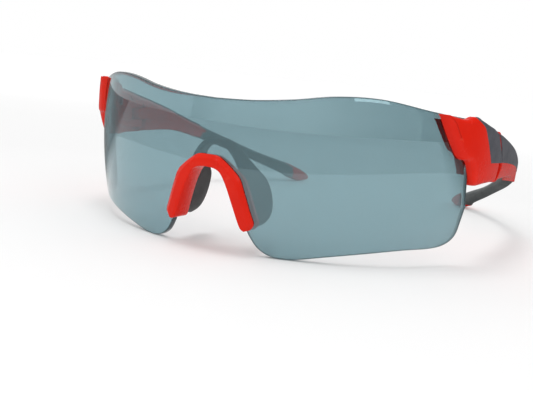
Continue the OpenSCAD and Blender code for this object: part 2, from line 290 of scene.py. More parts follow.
def on_lens(x, h, depth):
    """The lens's face at x across and h up its own height: a circle of plan radius
    R - B + sqrt((B - depth)^2 - h^2) about the upright axis, leaned forward at the top."""
    radius = LENS_R - LENS_BOW + np.sqrt((LENS_BOW - depth) ** 2 - h ** 2)
    back = LENS_R - np.sqrt(np.maximum(radius ** 2 - x ** 2, 0))
    y = back * math.cos(LENS_LEAN) - h * math.sin(LENS_LEAN)
    z = VERTEX_Z + back * math.sin(LENS_LEAN) + h * math.cos(LENS_LEAN)
    return np.stack([x + 0 * h, y, z], -1)


def on_lens_turned(x, h, depth):
    """As on_lens, but x is measured on the outer face and depth runs square to it."""
    face = LENS_R - LENS_BOW + np.sqrt(LENS_BOW ** 2 - h ** 2)
    under = LENS_R - LENS_BOW + np.sqrt((LENS_BOW - depth) ** 2 - h ** 2)
    return on_lens(x * under / face, h, depth)


def lens_half_width(y, z, stand):
    """Where a face standing that far off the lens crosses the side view's point (y, z)."""
    back = y * math.cos(LENS_LEAN) + (z - VERTEX_Z) * math.sin(LENS_LEAN)
    h = (z - VERTEX_Z) * math.cos(LENS_LEAN) - y * math.sin(LENS_LEAN)
    radius = LENS_R - LENS_BOW + np.sqrt((LENS_BOW + stand) ** 2 - h ** 2)
    return np.sqrt(np.maximum(radius ** 2 - (LENS_R - back) ** 2, 1))


plan = smooth([[35.8, 67.6], [43.3, 70.3], [54.3, 72.0], [66.3, 73.0], [84.3, 73.4],
               [104.3, 72.0], [124.3, 67.0], [144.3, 58.0], [162, 47.4], [172, 40.8]])
# The ridge along the shell, under which it tucks in towards its lower edge
ridge = smooth([[34, 33.6], [40, 33.0], [48.2, 31.9], [62.5, 30.6], [88, 28.2], [108, 23.4]])
TUCK = 0.20
SHELL_LEAN = 0.08        # how the side leans inwards below its top edge, behind the head


def shell_width(y, z):
    """The red shell's outer half width: the temple line in plan, carried forward on to the
    lens flange, and drawn in below the ridge in proportion to the drop."""
    wall = height_at(plan, y)
    flange = lens_half_width(y, z, FLANGE_STAND)
    joined = flange + (wall - flange) * step_up(y, *FLANGE_FADE)
    drop = np.maximum(height_at(ridge, y) - z, 0)
    drop = drop * drop / (drop + 0.8)
    lean = SHELL_LEAN * np.maximum(height_at(head_top, y) - z, 0) * step_up(y, 50, 78)
    fade = 1 - step_up(y, 92, 112)
    return joined - (TUCK * drop * step_up(y, 35, 44) + lean) * fade


def on_shell(y, z, depth):
    """The shell's side surface, with depth measured inwards across the head; the top edge
    slopes down towards the inside."""
    top = height_at(head_top, y)
    inwards = (np.clip(depth, 0, 5) / TEMPLE_THICK) ** 1.3
    slope = TOP_SLOPE * inwards * step_up(z, top - 5, top)
    slope = slope * step_up(y, 39, 46)
    return np.stack([shell_width(y, z) - depth, y, z - slope], -1)


# ---- Outlines --------------------------------------------------------------------

lens_top = [[0, 15.2], [11.3, 15.6], [22.7, 16.8], [34, 18.6], [45.3, 18.7], [56.7, 16.3],
            [62.4, 15.1], [65.9, 14.4]]
lens_low = [[66.6, -12], [65.8, -16.6], [64.8, -21.0], [62.8, -23.6], [59.6, -24.7],
            [52.8, -25.0], [43.6, -26.2], [34.4, -27.7], [25.2, -29.4], [19.6, -29.2],
            [15.8, -27.2], [13.4, -24.0], [12.1, -21.0], [10.2, -13.5], [8.4, -8.3],
            [6.5, -5.3], [3.8, -3.1], [0, -2.6]]
bridge_foot = [12.2, -22.0]
bridge_out = [[0, -0.9], [2.9, -1.0], [5.0, -2.1], [8.0, -4.5], [10.2, -6.9], [11.6, -10.5],
              [13.6, -16.5], [14.6, -19.4], [14.3, -20.7], [13.4, -21.7], bridge_foot]
bridge_in = [[0, -4.4], [2.65, -4.7], [4.65, -6.0], [6.5, -9.5], [8.2, -14.0],
             [10.3, -20.0], [11.1, -21.5], [11.9, -22.0]]
bridge_web = [[0, -2.7], [3.8, -3.2], [6.4, -5.4], [8.3, -8.4], [10.1, -13.6],
              [11.9, -20.2], [12.2, -21.3], [12.1, -22.0]]
bridge_rear = [[0, -1.3], [2.9, -1.5], [5.0, -2.6], [8.2, -4.8], [10.9, -7.0], [12.5, -10.6],
               [14.6, -16.6], [15.5, -19.2], [15.1, -20.7], [13.9, -21.6], bridge_foot]

end_top = smooth([[28.0, 46.0], [30.5, 45.6], [34.8, 45.0], [37.4, 45.9], [39.6, 45.0],
                  [44, 43.7], [49.5, 42.5], [56, 41.0], [62, 39.7]])
top_line = smooth([[49.5, 42.3], [62, 39.7], [74.6, 37.0], [87.6, 33.8], [104.3, 28.6],
                   [124.3, 22.2], [144.3, 14.8], [162, 8.8], [168.0, 6.3]])
head_top = np.vstack([end_top[end_top[:, 0] < 49], top_line])
end_low = smooth([[28.0, 45.9], [28.7, 43.9], [30.2, 40.2], [31.9, 36.9], [33.5, 34.3],
                  [34.8, 33.2], [36.6, 32.8], [38.0, 31.0], [39.4, 28.6], [41.0, 26.0],
                  [43, 25.1], [50, 25.4], [60.4, 25.3]])
low_line = smooth([[59.3, 25.4], [78, 25.3], [92, 24.2], [108, 21.1], [124.3, 16.5],
                   [138.6, 11.8], [154, 5.6], [163, 1.4], [166, 0.05]])
seam_line = smooth([[52.6, 43.6], [53.6, 41.1], [58.1, 36.3], [61.4, 31.4], [62.1, 28.2],
                    [61.2, 26.2], [58.6, 24.6]])
clamp_low = smooth([[31.1, 44.2], [33.2, 39.6], [35.4, 35.8], [37.6, 34.2], [39.0, 31.0],
                    [40.2, 28.4]])
clamp_top = smooth([[31.1, 44.4], [38, 43.8], [40.3, 42.8]])

panel_front = smooth([[37.2, 45.9], [37.6, 45.0], [40.6, 42.8], [42.8, 39.7], [48.2, 32.2]])
panel_low = smooth([[48.2, 32.1], [62.5, 31.5], [87.8, 29.0], [104, 25.6], [112, 23.2]])
GRIP_START = np.array([[107.6, 19.0], [111.6, 28.0]])

# the wearer's two sides; the right one is drawn as the left and mirrored
both = (("left", False), ("right", True))


# ---- Shader groups ----------------------------------------------------------------

def node_group(name, inputs, outputs):
    """An empty shader group with those named sockets, and its input and output nodes."""
    tree = bpy.data.node_groups.new(name, "ShaderNodeTree")
    for label, kind, value in inputs:
        socket = tree.interface.new_socket(name=label, in_out="INPUT", socket_type=kind)
        socket.default_value = value
    for label, kind in outputs:
        tree.interface.new_socket(name=label, in_out="OUTPUT", socket_type=kind)
    return tree, tree.nodes.new("NodeGroupInput"), tree.nodes.new("NodeGroupOutput")


def noise(tree, scale, detail, roughness=0.55):
    """A noise texture; scale is a number or a socket that gives one."""
    node = tree.nodes.new("ShaderNodeTexNoise")
    node.inputs["Detail"].default_value = detail
    node.inputs["Roughness"].default_value = roughness
    if isinstance(scale, (int, float)):
        node.inputs["Scale"].default_value = scale
    else:
        tree.links.new(scale, node.inputs["Scale"])
    return node


def spread(tree, source, low, high, to_low=0.0, to_high=1.0):
    """source stretched from low..high on to to_low..to_high."""
    node = tree.nodes.new("ShaderNodeMapRange")
    node.inputs["From Min"].default_value = low
    node.inputs["From Max"].default_value = high
    for label, value in (("To Min", to_low), ("To Max", to_high)):
        if isinstance(value, (int, float)):
            node.inputs[label].default_value = value
        else:
            tree.links.new(value, node.inputs[label])
    tree.links.new(source, node.inputs["Value"])
    return node.outputs["Result"]


def blended(tree, factor, a, b):
    """Colour a where factor is 0, b where it is 1; each may be a value or a socket."""
    node = tree.nodes.new("ShaderNodeMix")
    node.data_type = "RGBA"
    for label, value in ((0, factor), (6, a), (7, b)):
        if isinstance(value, bpy.types.NodeSocket):
            tree.links.new(value, node.inputs[label])
        else:
            node.inputs[label].default_value = value
    return node.outputs[2]


def surface_group():
    """Moulded surface: slow colour drift, fine grain and faint rubbed patches."""
    tree, ins, outs = node_group("moulded_surface", [
        ("Vector", "NodeSocketVector", (0, 0, 0)),
        ("Colour", "NodeSocketColor", (0.5, 0.5, 0.5, 1)),
        ("Drift colour", "NodeSocketColor", (0.5, 0.5, 0.5, 1)),
        ("Drift scale", "NodeSocketFloat", 60.0),
        ("Grain scale", "NodeSocketFloat", 1500.0),
        ("Smoothest", "NodeSocketFloat", 0.2),
        ("Roughest", "NodeSocketFloat", 0.3)],
        [("Colour", "NodeSocketColor"), ("Roughness", "NodeSocketFloat"),
         ("Height", "NodeSocketFloat"), ("Rub", "NodeSocketFloat")])
    drift = noise(tree, ins.outputs["Drift scale"], 3)
    grain = noise(tree, ins.outputs["Grain scale"], 2)
    rub = noise(tree, 140.0, 5, 0.7)
    for node in (drift, grain, rub):
        tree.links.new(ins.outputs["Vector"], node.inputs["Vector"])
    rubbed = spread(tree, rub.outputs["Fac"], 0.46, 0.66)
    patch = spread(tree, drift.outputs["Fac"], 0.35, 0.65)
    colour = blended(tree, patch, ins.outputs["Colour"], ins.outputs["Drift colour"])
    tree.links.new(colour, outs.inputs["Colour"])
    rough = spread(tree, rubbed, 0, 1, ins.outputs["Smoothest"], ins.outputs["Roughest"])
    tree.links.new(rough, outs.inputs["Roughness"])
    tree.links.new(grain.outputs["Fac"], outs.inputs["Height"])
    tree.links.new(rubbed, outs.inputs["Rub"])
    return tree


def wear_group():
    """Edge wear: convex edges, broken up by noise, take a paler rubbed colour."""
    tree, ins, outs = node_group("edge_wear", [
        ("Vector", "NodeSocketVector", (0, 0, 0)),
        ("Colour", "NodeSocketColor", (0.5, 0.5, 0.5, 1)),
        ("Worn colour", "NodeSocketColor", (0.8, 0.8, 0.8, 1)),
        ("Amount", "NodeSocketFloat", 0.4)],
        [("Colour", "NodeSocketColor"), ("Mask", "NodeSocketFloat")])
    shape = tree.nodes.new("ShaderNodeNewGeometry")
    broken = noise(tree, 420.0, 4, 0.65)
    tree.links.new(ins.outputs["Vector"], broken.inputs["Vector"])
    edge = spread(tree, shape.outputs["Pointiness"], 0.52, 0.62)
    patchy = spread(tree, broken.outputs["Fac"], 0.42, 0.62)
    joined = tree.nodes.new("ShaderNodeMath")
    joined.operation = "MULTIPLY"
    tree.links.new(edge, joined.inputs[0])
    tree.links.new(patchy, joined.inputs[1])
    scaled = tree.nodes.new("ShaderNodeMath")
    scaled.operation = "MULTIPLY"
    tree.links.new(joined.outputs[0], scaled.inputs[0])
    tree.links.new(ins.outputs["Amount"], scaled.inputs[1])
    colour = blended(tree, scaled.outputs[0], ins.outputs["Colour"], ins.outputs["Worn colour"])
    tree.links.new(colour, outs.inputs["Colour"])
    tree.links.new(scaled.outputs[0], outs.inputs["Mask"])
    return tree


def dust_group():
    """Dust and finger marks: sparse specks and wide soft smears as one mask."""
    tree, ins, outs = node_group("dust_and_marks", [
        ("Vector", "NodeSocketVector", (0, 0, 0)),
        ("Specks", "NodeSocketFloat", 0.4),
        ("Smears", "NodeSocketFloat", 0.4)],
        [("Mask", "NodeSocketFloat")])
    specks = noise(tree, 2600.0, 1)
    smears = noise(tree, 55.0, 6, 0.75)
    for node in (specks, smears):
        tree.links.new(ins.outputs["Vector"], node.inputs["Vector"])
    dots = spread(tree, specks.outputs["Fac"], 0.70, 0.78, 0.0, ins.outputs["Specks"])
    wide = spread(tree, smears.outputs["Fac"], 0.50, 0.72, 0.0, ins.outputs["Smears"])
    total = tree.nodes.new("ShaderNodeMath")
    total.operation = "ADD"
    total.use_clamp = True
    tree.links.new(dots, total.inputs[0])
    tree.links.new(wide, total.inputs[1])
    tree.links.new(total.outputs[0], outs.inputs["Mask"])
    return tree


SURFACE, WEAR, DUST = surface_group(), wear_group(), dust_group()


# ---- Finishes ------------------------------------------------------------------------

def placed(tree, group, coords, **values):
    """A group in a material, read from object coordinates, with its own values."""
    node = tree.nodes.new("ShaderNodeGroup")
    node.node_tree = group
    tree.links.new(coords, node.inputs["Vector"])
    for label, value in values.items():
        node.inputs[label.replace("_", " ")].default_value = value
    return node


def finish_base(name, **sockets):
    """A material with object coordinates and a Principled shader set by its socket names."""
    material = bpy.data.materials.new(name)
    material.use_nodes = True
    tree = material.node_tree
    shader = tree.nodes["Principled BSDF"]
    for label, value in sockets.items():
        shader.inputs[label.replace("_", " ")].default_value = value
    coords = tree.nodes.new("ShaderNodeTexCoord").outputs["Object"]
    return material, tree, shader, coords


def bumped(tree, shader, height, strength, distance):
    """Gives the shader a bump from a height; distance is in metres."""
    bump = tree.nodes.new("ShaderNodeBump")
    bump.inputs["Strength"].default_value = strength
    bump.inputs["Distance"].default_value = distance
    tree.links.new(height, bump.inputs["Height"])
    tree.links.new(bump.outputs["Normal"], shader.inputs["Normal"])


def moulded(name, colour, drift, worn, smooth_rough, grain, bump, wear=0.35, dust=0.25,
            dust_colour=(0.6, 0.6, 0.6, 1), drift_scale=60.0, **sockets):
    """A moulded finish: surface drift, edge wear and dust over a Principled shader."""
    material, tree, shader, coords = finish_base(name, **sockets)
    base = placed(tree, SURFACE, coords, Colour=colour, Drift_colour=drift,
                  Drift_scale=drift_scale, Grain_scale=grain,
                  Smoothest=smooth_rough[0], Roughest=smooth_rough[1])
    worn_edges = placed(tree, WEAR, coords, Worn_colour=worn, Amount=wear)
    tree.links.new(base.outputs["Colour"], worn_edges.inputs["Colour"])
    marks = placed(tree, DUST, coords, Specks=dust, Smears=dust * 0.3)
    dusty = blended(tree, marks.outputs["Mask"], worn_edges.outputs["Colour"], dust_colour)
    tree.links.new(dusty, shader.inputs["Base Color"])
    tree.links.new(base.outputs["Roughness"], shader.inputs["Roughness"])
    bumped(tree, shader, base.outputs["Height"], *bump)
    return material


def mirrored_lens():
    """Tinted, lightly mirrored lens: smears change its gloss and a very slow drift its tint."""
    material, tree, shader, coords = finish_base(
        "mirrored_lens", Metallic=0.28, IOR=1.5, Transmission_Weight=1.0)
    base = placed(tree, SURFACE, coords, Colour=(0.275, 0.425, 0.468, 1),
                  Drift_colour=(0.283, 0.434, 0.475, 1), Drift_scale=18.0,
                  Grain_scale=900.0, Smoothest=0.0, Roughest=0.015)
    marks = placed(tree, DUST, coords, Specks=0.05, Smears=0.10)
    hazed = blended(tree, marks.outputs["Mask"], base.outputs["Colour"],
                    (0.33, 0.52, 0.56, 1))
    tree.links.new(hazed, shader.inputs["Base Color"])
    tree.links.new(base.outputs["Roughness"], shader.inputs["Roughness"])
    bumped(tree, shader, base.outputs["Height"], 0.02, 0.00002)
    # light that falls through the lens reaches the pieces behind it
    path = tree.nodes.new("ShaderNodeLightPath")
    either = tree.nodes.new("ShaderNodeMath")
    either.operation = "MAXIMUM"
    tree.links.new(path.outputs["Is Shadow Ray"], either.inputs[0])
    tree.links.new(path.outputs["Is Diffuse Ray"], either.inputs[1])
    opacity = spread(tree, either.outputs[0], 0, 1, 1.0, 0.35)
    tree.links.new(opacity, shader.inputs["Alpha"])
    return material


RED = moulded("red_gloss", (0.72, 0.016, 0.004, 1), (0.66, 0.012, 0.003, 1),
              (0.86, 0.10, 0.06, 1), (0.20, 0.32), 900.0, (0.05, 0.0001), wear=0.30,
              dust=0.02, dust_colour=(0.80, 0.35, 0.30, 1), Coat_Weight=0.05,
              Coat_Roughness=0.05, Specular_IOR_Level=0.12)
GRAPHITE = moulded("graphite_panel", (0.062, 0.064, 0.080, 1), (0.078, 0.081, 0.098, 1),
                   (0.22, 0.23, 0.25, 1), (0.30, 0.42), 2600.0, (0.25, 0.00012), wear=0.5,
                   dust=0.12, drift_scale=220.0, Specular_IOR_Level=0.35)
BLACK_RUBBER = moulded("black_rubber", (0.030, 0.029, 0.029, 1), (0.040, 0.039, 0.039, 1),
                       (0.06, 0.06, 0.06, 1), (0.50, 0.64), 1800.0, (0.35, 0.00015),
                       wear=0.5, dust=0.08, dust_colour=(0.12, 0.12, 0.12, 1),
                       Specular_IOR_Level=0.3)
GREY_RUBBER = moulded("grey_rubber", (0.060, 0.070, 0.070, 1), (0.078, 0.090, 0.090, 1),
                      (0.17, 0.19, 0.19, 1), (0.50, 0.66), 1500.0, (0.4, 0.0002),
                      wear=0.4, dust=0.25, dust_colour=(0.30, 0.32, 0.32, 1))
STEEL = moulded("screw_steel", (0.50, 0.50, 0.52, 1), (0.38, 0.38, 0.40, 1),
                (0.85, 0.85, 0.87, 1), (0.18, 0.38), 3200.0, (0.2, 0.00005), wear=0.6,
                dust=0.2, drift_scale=700.0, Metallic=1.0)
LENS = mirrored_lens()
LENS_EDGE = moulded("lens_cut_edge", (0.055, 0.105, 0.120, 1), (0.075, 0.130, 0.145, 1),
                    (0.25, 0.34, 0.37, 1), (0.12, 0.30), 1400.0, (0.15, 0.00008), wear=0.2,
                    dust=0.1, Transmission_Weight=0.6, IOR=1.5)


# ---- Lens, bridge and saddle ---------------------------------------------------------

def build_lens():
    """One curved plate between the lens's lower and upper outlines."""
    columns = 261
    low = spaced(both_sides(smooth(lens_low)[::-1]), columns)
    top = spaced(both_sides(smooth(lens_top)), columns)
    # each column stands nearly upright: the top takes the low line's steps across
    across = np.interp(low[:, 0] / low[-1, 0], np.linspace(-1, 1, columns),
                       np.linspace(0, 1, columns))
    steps = 0.75 * across + 0.25 * np.linspace(0, 1, columns)
    top = np.stack([np.interp(steps, np.linspace(0, 1, columns), top[:, k]) for k in (0, 1)], 1)
    shape = plate(low, top, on_lens_turned, LENS_THICK, (0.30, 0.30, 0.30, 0.30),
                  rows=34, back_rounding=0.30, turns=3)
    make("shield_lens", plate_parts(shape, rim_material=1), [LENS, LENS_EDGE],
         "front", ["shield_lens"])


def rounded_line(corners, radius, steps=5):
    """A closed line through corners, each cut by a quadratic curve that starts and ends
    radius away from it."""
    p = np.asarray(corners, float)
    before, after = np.roll(p, 1, 0) - p, np.roll(p, -1, 0) - p
    reach = np.asarray(radius, float)[:, None]
    start = p + before / np.linalg.norm(before, axis=1, keepdims=True) * reach
    stop = p + after / np.linalg.norm(after, axis=1, keepdims=True) * reach
    t = np.linspace(0, 1, steps)[None, :, None]
    curve = start[:, None] * (1 - t) ** 2 + 2 * p[:, None] * t * (1 - t) + stop[:, None] * t ** 2
    return curve.reshape(-1, p.shape[1])


def build_bridge():
    """A channel carried over the notch. Its section has a face flange, a web through the lens
    and a rear flange; a section point is (reach, level, depth): reach 0 lies on the inner
    line and 1 on the outer line of its level, 0 the face, 1 the web and 2 the rear."""
    count = 161
    inner = spaced(both_sides(smooth(bridge_in)), count)
    outlines = [spaced(both_sides(smooth(line)), count)
                for line in (bridge_out, bridge_web, bridge_rear)]
    stand, deep, thick = BRIDGE_STAND, BRIDGE_DEPTH, LENS_THICK
    section = rounded_line([
        [0.0, 0, -stand], [0.66, 0, -stand], [1.0, 0, -0.55], [1.0, 0, -0.05],
        [1.0, 1, -0.05], [1.0, 1, thick + 0.05], [1.0, 2, thick + 0.05],
        [1.0, 2, thick + 1.85], [1.0, 1, thick + 1.85], [1.0, 1, deep], [0.0, 0, deep]],
        [0.30, 0.09, 0.20, 0.05, 0.02, 0.02, 0.10, 0.10, 0.02, 0.30, 0.30])
    reach, level, depth = section[:, 0], section[:, 1], section[:, 2]
    stack = np.array(outlines)
    low_level = np.floor(level).astype(int).clip(0, 1)
    share = (level - low_level)[:, None, None]
    outer = stack[low_level] * (1 - share) + stack[low_level + 1] * share
    flat = inner[None] * (1 - reach[:, None, None]) + outer * reach[:, None, None]
    rings = on_lens_turned(flat[..., 0], flat[..., 1], depth[:, None] + 0 * flat[..., 0])
    make("nose_bridge", sweep_parts(rings.transpose(1, 0, 2)), [RED],
         "front", ["nose_bridge"])


def build_saddle():
    """A band over the nose that widens into two pads. Each ring is a superellipse across the
    band's thickness and from its front edge to its rear edge; pads splay outwards behind."""
    count, around = 121, 40
    outer = smooth([[0, 33.2], [3.8, 32.2], [7.2, 28.4], [9.6, 22.6], [11.6, 16.5],
                    [12.9, 10.8], [12.5, 7.9]])
    inner = smooth([[0, 30.9], [2.8, 30.3], [4.8, 28.4], [6.8, 25.2], [8.4, 19.6],
                    [9.8, 13.0], [10.6, 9.4], [11.7, 7.9]])
    out_line, in_line = (spaced(both_sides(line), count) for line in (outer, inner))
    middle, half = (out_line + in_line) / 2, (out_line - in_line) / 2
    front = smooth([[7.9, 11.6], [8.5, 9.0], [10.5, 7.0], [20, 5.4], [28, 4.6], [31, 4.2],
                    [34, 4.0]])
    rear = smooth([[7.9, 13.6], [8.8, 16.8], [11.6, 19.8], [16.0, 20.8], [20.5, 19.4],
                   [24.5, 14.4], [28, 10.4], [31, 8.8], [34, 8.4]])
    ahead = np.interp(middle[:, 1], front[:, 0], front[:, 1])
    behind = np.interp(middle[:, 1], rear[:, 0], rear[:, 1])
    turn = np.linspace(0, 2 * math.pi, around, endpoint=False)
    round_off = 0.62
    across = np.sign(np.cos(turn)) * np.abs(np.cos(turn)) ** round_off
    along = np.sign(np.sin(turn)) * np.abs(np.sin(turn)) ** round_off
    flat = middle[:, None] + half[:, None] * across[None, :, None]
    y = (ahead + behind)[:, None] / 2 + (behind - ahead)[:, None] / 2 * along[None]
    spread_out = 0.05 * (y - ahead[:, None]) * np.sign(middle[:, :1])
    splay = spread_out * step_up(np.abs(middle[:, :1]), 5, 11)
    rings = np.stack([flat[..., 0] + splay, y, flat[..., 1]], -1)
    make("nose_saddle", sweep_parts(rings), [BLACK_RUBBER], "front", ["nose_saddle"])


# ---- Hinge pieces ------------------------------------------------------------------

def eye_parts(low, high, bore):
    """A hinge eye: an upright ring about the hinge axis from low to high."""
    turn = np.linspace(0, 2 * math.pi, 48, endpoint=False)
    soft = 0.18
    profile = rounded_line([[bore, low], [KNUCKLE_R, low], [KNUCKLE_R, high], [bore, high]],
                           [soft, soft, soft, soft], 4)
    x = HINGE_X + profile[:, :1] * np.cos(turn)
    y = HINGE_Y + profile[:, :1] * np.sin(turn)
    z = np.repeat(profile[:, 1:], len(turn), 1)
    rings = np.stack([x, y, z], -1)
    faces = grid_faces(len(rings), len(turn), around=True)
    closing = np.arange(len(turn))
    last = (len(rings) - 1) * len(turn)
    seam = np.stack([closing + last, np.roll(closing, -1) + last,
                     np.roll(closing, -1), closing], 1)
    return [(rings.reshape(-1, 3), np.vstack([faces, seam])[:, ::-1], 0)]


def bar_parts(y_line, z_line, x_out, x_in):
    """A bar with softened edges: an upright plate between two heights, x_out to x_in."""
    y = np.linspace(*y_line, 25)
    low = np.stack([y, np.full(25, z_line[0])], 1)
    top = np.stack([y, np.full(25, z_line[1])], 1)
    soft = 0.22

    def place(p, q, depth):
        return np.stack([x_out - depth + 0 * p, p, q], -1)
    return plate_parts(plate(low, top, place, x_out - x_in, (soft,) * 4, rows=7,
                             back_rounding=soft, turns=3))


def hinge_pocket(y, z):
    """How much thinner the wall is around the knuckles."""
    near = np.exp(-((y - HINGE_Y) / 3.1) ** 6) * np.exp(-((z - HINGE_Z) / 6.2) ** 8)
    return POCKET * near


# ---- Side pieces -------------------------------------------------------------------

def shell_depth(y, z):
    """The red shell's thickness: to the lens's face on the flange, and full behind it."""
    on_flange = lens_half_width(y, z, FLANGE_STAND) - lens_half_width(y, z, 0.05)
    full = TEMPLE_THICK - hinge_pocket(y, z)
    return on_flange + (full - on_flange) * step_up(y, *WALL_FULL)


def seam_at(z, shift):
    """How far back the seam lies at height z, moved back by shift."""
    order = np.argsort(seam_line[:, 1])
    return np.interp(z, seam_line[order, 1], seam_line[order, 0]) + shift


def line_to_seam(line, start_y, shift, count):
    """The stretch of a side line from start_y to the raked seam."""
    ys = np.linspace(start_y, 66, 800)
    zs = height_at(line, ys)
    stop = ys[np.argmax(ys >= seam_at(zs, shift))]
    y = np.linspace(start_y, stop, count)
    return np.stack([y, height_at(line, y)], 1)


def build_end_piece(side, mirrored):
    """The red end piece: a flange on the lens that thickens into the head, with the hinge's
    two ears behind it."""
    count = 131
    keep = end_low[:, 0] < 58
    low_run = np.vstack([end_low[keep], [[seam_at(25.3, -SEAM), 25.3]]])
    low = spaced(low_run, count)
    top_run = line_to_seam(end_top, 28.05, -SEAM, 400)
    top = spaced(top_run, count)
    # the rear edge is ruled straight from the seam's foot to its top
    shape = plate(low, top, on_shell, shell_depth, (1.5, 0.18, 1.4, 1.0), rows=30,
                  back_rounding=0.4)
    parts = plate_parts(shape)
    parts += eye_parts(*LOWER_EAR, PIN_BORE)
    parts += eye_parts(UPPER_EAR[0], HEAD_SEAT, PIN_BORE)
    parts += eye_parts(HEAD_SEAT - 0.05, UPPER_EAR[1], HEAD_BORE)
    for heights in (LOWER_EAR, UPPER_EAR):
        parts += bar_parts((46.5, HINGE_Y - 0.6), heights, BAR_IN + 1.0, BAR_IN)
    make(f"{side}_end_piece", parts, [RED], "front", [f"{side}_end_piece"],
         mirrored)


def rule_to(low_start, top_start, low_stop, top_stop, count):
    """Two side lines from start to stop, sampled together."""
    low_y = np.linspace(low_start, low_stop, count)
    top_y = np.linspace(top_start, top_stop, count)
    return (np.stack([low_y, height_at(low_line, low_y)], 1),
            np.stack([top_y, height_at(top_line, top_y)], 1))


def arm_depth(y, z):
    """The arm's thickness, less the pocket for the knuckles."""
    return TEMPLE_THICK - hinge_pocket(y, z)


def seam_surface(place, low, top, shift, reach=14.0):
    """Moves a plate's points along y so that its edge follows the seam's curve: the move
    fades from full at the seam to nothing at reach behind it."""
    def moved(y, z, depth):
        v = np.clip((z - low[1]) / (top[1] - low[1]), 0, 1)
        straight = low[0] * (1 - v) + top[0] * v
        fade = 1 - step_up(y - straight, 0, reach)
        return place(y + (seam_at(z, shift) - straight) * fade, z, depth)
    return moved


def build_temple(side, mirrored):
    """The folding side: red arm with the hinge tongue, grey grip and red tip cap."""
    body = f"{side}_temple"
    start_top = line_to_seam(top_line, 50, SEAM, 3)[-1]
    start_low = np.array([seam_at(25.4, SEAM), 25.4])
    low, top = rule_to(start_low[0], start_top[0], GRIP_START[0, 0], GRIP_START[1, 0], 91)
    place = seam_surface(on_shell, low[0], top[0], SEAM)
    arm = plate_parts(plate(low, top, place, arm_depth, (1.0, 0.12, 1.2, 0.18), rows=26,
                            back_rounding=0.9))
    arm += eye_parts(*TONGUE, PIN_BORE)
    arm += bar_parts((HINGE_Y + 0.6, HINGE_Y + 10), TONGUE, HINGE_X - 0.6, BAR_IN)
    make(f"{side}_temple_arm", arm, [RED], body, [f"{side}_temple_arm"], mirrored)

    low, top = rule_to(GRIP_START[0, 0] + GRIP_GAP, GRIP_START[1, 0] + GRIP_GAP,
                       GRIP_STOP_LOW, GRIP_STOP_TOP, 81)
    grip = plate(low, top, on_shell, TEMPLE_THICK, (1.5, 0.12, 1.7, 0.12), rows=18,
                 back_rounding=1.3, turns=7)
    make(f"{side}_temple_grip", plate_parts(grip), [GREY_RUBBER], body,
         [f"{side}_temple_grip"], mirrored)

    round_end = smooth([[168.0, 6.3], [169.6, 5.0], [170.2, 3.2], [169.4, 1.0], [166.4, 0.02]])
    low, top = rule_to(GRIP_STOP_LOW + GRIP_GAP, GRIP_STOP_TOP + GRIP_GAP,
                       round_end[-1, 0], round_end[0, 0], 25)
    bend = spaced(round_end, 19)
    low_run = spaced(np.vstack([low, bend[::-1][:8]]), 33)
    top_run = spaced(np.vstack([top, bend[:12]]), 33)
    tip = plate(low_run, top_run, on_shell, TEMPLE_THICK, (1.4, 1.2, 1.6, 0.12), rows=16,
                back_rounding=1.2, turns=7)
    make(f"{side}_tip_cap", plate_parts(tip), [RED], body, [f"{side}_tip_cap"],
         mirrored)


def on_panel(y, z, depth):
    """Just above the red shell; past the shell's top it rolls inwards over the shoulder."""
    top = height_at(head_top, y)
    over = np.maximum(z - (top - SHOULDER), 0)
    angle = np.clip(over / SHOULDER, 0, 1.55)
    rolled_z = np.where(over > 0, top - SHOULDER + SHOULDER * np.sin(angle), z)
    drop = np.where(over > 0, SHOULDER * (1 - np.cos(angle)), 0)
    lift_x, lift_z = np.cos(angle), np.sin(angle)
    stand = PANEL_PROUD - depth
    x = shell_width(y, np.minimum(z, top)) - drop + stand * lift_x
    return np.stack([x, y, rolled_z + stand * lift_z * 0.9], -1)


